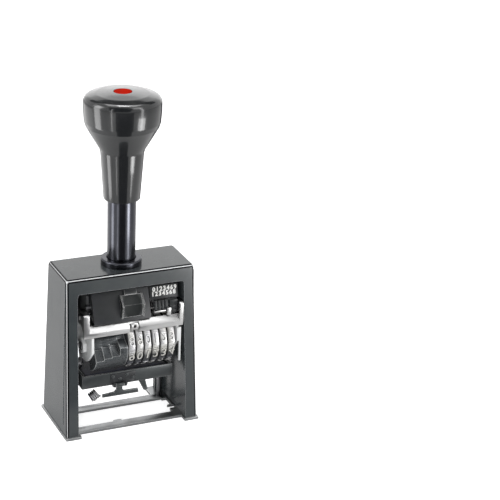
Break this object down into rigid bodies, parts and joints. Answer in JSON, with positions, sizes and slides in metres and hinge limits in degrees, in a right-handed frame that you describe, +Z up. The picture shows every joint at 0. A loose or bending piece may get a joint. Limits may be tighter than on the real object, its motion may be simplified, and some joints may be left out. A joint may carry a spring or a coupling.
{
  "type": "numbering machine",
  "caption": "Hand-pressed self-inking number stamp: wheel carriage in a black portal housing, mushroom knob on a sprung neck, swinging ink-pad tray, steel base plate.",
  "frame": {"origin": "middle of the base plate's underside", "axes": "+Z up along the handle, -Y towards the open front, +X to the right"},
  "size_m": [0.0772, 0.044, 0.1873],
  "materials": {
    "black_enamel": "satin stoved enamel",
    "base_steel": "brushed",
    "machine_steel": "turned",
    "nickel": "nickel plate",
    "knob_black": "gloss moulded",
    "cap_red": "gloss moulded",
    "bush_brass": "turned",
    "buffer_rubber": "matte",
    "cover_black": "satin",
    "dark_steel": "blackened",
    "drum_black": "satin moulded",
    "pad_felt": "inked felt"
  },
  "bodies": {
    "frame": {"base_plate": "base_steel", "base_screws": "machine_steel", "housing": "black_enamel", "neck_tube": "black_enamel", "neck_collar": "black_enamel", "guide_rods": "machine_steel", "pad_pivot_pins": "machine_steel", "return_spring": "machine_steel"},
    "carriage": {"knob": "knob_black", "knob_cap": "cap_red", "handle_sleeve": "knob_black", "plunger_rod": "machine_steel", "plunger_nut": "machine_steel", "crosshead": "machine_steel", "crosshead_nut": "machine_steel", "guide_bushes": "bush_brass", "buffer_washer": "buffer_rubber", "left_cheek": "nickel", "right_cheek": "nickel", "cheek_screws": "machine_steel", "tie_rods": "machine_steel", "front_bar": "nickel", "cover_pin": "nickel", "selector_cover": "cover_black", "index_plate": "cover_black", "finger_comb": "cover_black", "comb_strip": "nickel", "comb_post": "nickel", "grooved_block": "cover_black", "pawl_block": "nickel", "wheel_shaft": "machine_steel", "shaft_nuts": "machine_steel", "detent_comb": "machine_steel", "roller_stud": "machine_steel", "rocker_shaft": "machine_steel"},
    "feed_rocker": {"pawl_rocker": "machine_steel", "feed_pawls": "nickel"},
    "roller": {"push_roller": "machine_steel"},
    "repeat_drum": {"repeat_drum": "drum_black"},
    "selector": {"selector_slide": "dark_steel"},
    "pad_swing": {"pad_carrier": "dark_steel"},
    "pad_drawer": {"pad_tray": "dark_steel", "felt_pad": "pad_felt", "lever_bracket": "dark_steel", "bracket_rivets": "nickel", "lever_pin": "machine_steel", "lever_spring": "machine_steel"},
    "pad_release": {"release_lever": "dark_steel"},
    "figure_1": {"type_wheel_1": "nickel"},
    "figure_2": {"type_wheel_2": "nickel"},
    "figure_3": {"type_wheel_3": "nickel"},
    "figure_4": {"type_wheel_4": "nickel"},
    "figure_5": {"type_wheel_5": "nickel"},
    "figure_6": {"type_wheel_6": "nickel"}
  },
  "joints": [
    {"name": "plunger", "type": "slide", "parent": "frame", "child": "carriage", "axis": [0, 0, -1], "range_m": [0, 0.0323], "stiffness_N_per_m": 600, "springref_m": -0.016, "deforming": ["return_spring"]},
    {"name": "feed_rocker", "type": "hinge", "parent": "carriage", "child": "feed_rocker", "pos_m": [0, 0.006, 0.0635], "axis": [1, 0, 0], "range_deg": [0, 20]},
    {"name": "roller_spin", "type": "hinge", "parent": "carriage", "child": "roller", "pos_m": [-0.0247, -0.0015, 0.0359], "axis": [1, 0, 0], "continuous": true},
    {"name": "drum_turn", "type": "hinge", "parent": "carriage", "child": "repeat_drum", "pos_m": [-0.01, -0.0045, 0.0475], "axis": [1, 0, 0], "continuous": true},
    {"name": "selector_slide", "type": "slide", "parent": "carriage", "child": "selector", "axis": [1, 0, 0], "range_m": [-0.0125, 0.0028]},
    {"name": "pad_swing", "type": "hinge", "parent": "frame", "child": "pad_swing", "pos_m": [0, 0.0155, 0.0415], "axis": [1, 0, 0], "range_deg": [0, 96.63]},
    {"name": "pad_drawer", "type": "slide", "parent": "pad_swing", "child": "pad_drawer", "axis": [0, -1, 0], "range_m": [0, 0.03]},
    {"name": "pad_release", "type": "hinge", "parent": "pad_drawer", "child": "pad_release", "pos_m": [-0.005, -0.014, 0.0251], "axis": [1, 0, 0], "range_deg": [0, 18], "stiffness_Nm_per_rad": 0.02, "springref_deg": -5.73},
    {"name": "figure_turn_1", "type": "hinge", "parent": "carriage", "child": "figure_1", "pos_m": [-0.0001, -0.0045, 0.0475], "axis": [1, 0, 0], "continuous": true},
    {"name": "figure_turn_2", "type": "hinge", "parent": "carriage", "child": "figure_2", "pos_m": [0.0045, -0.0045, 0.0475], "axis": [1, 0, 0], "continuous": true},
    {"name": "figure_turn_3", "type": "hinge", "parent": "carriage", "child": "figure_3", "pos_m": [0.0091, -0.0045, 0.0475], "axis": [1, 0, 0], "continuous": true},
    {"name": "figure_turn_4", "type": "hinge", "parent": "carriage", "child": "figure_4", "pos_m": [0.0137, -0.0045, 0.0475], "axis": [1, 0, 0], "continuous": true},
    {"name": "figure_turn_5", "type": "hinge", "parent": "carriage", "child": "figure_5", "pos_m": [0.0183, -0.0045, 0.0475], "axis": [1, 0, 0], "continuous": true},
    {"name": "figure_turn_6", "type": "hinge", "parent": "carriage", "child": "figure_6", "pos_m": [0.0229, -0.0045, 0.0475], "axis": [1, 0, 0], "continuous": true}
  ],
  "couplings": [
    {"joint": "pad_swing", "follows": "plunger", "rad_per_m": 52},
    {"joint": "feed_rocker", "follows": "plunger", "rad_per_m": 10.796}
  ]
}
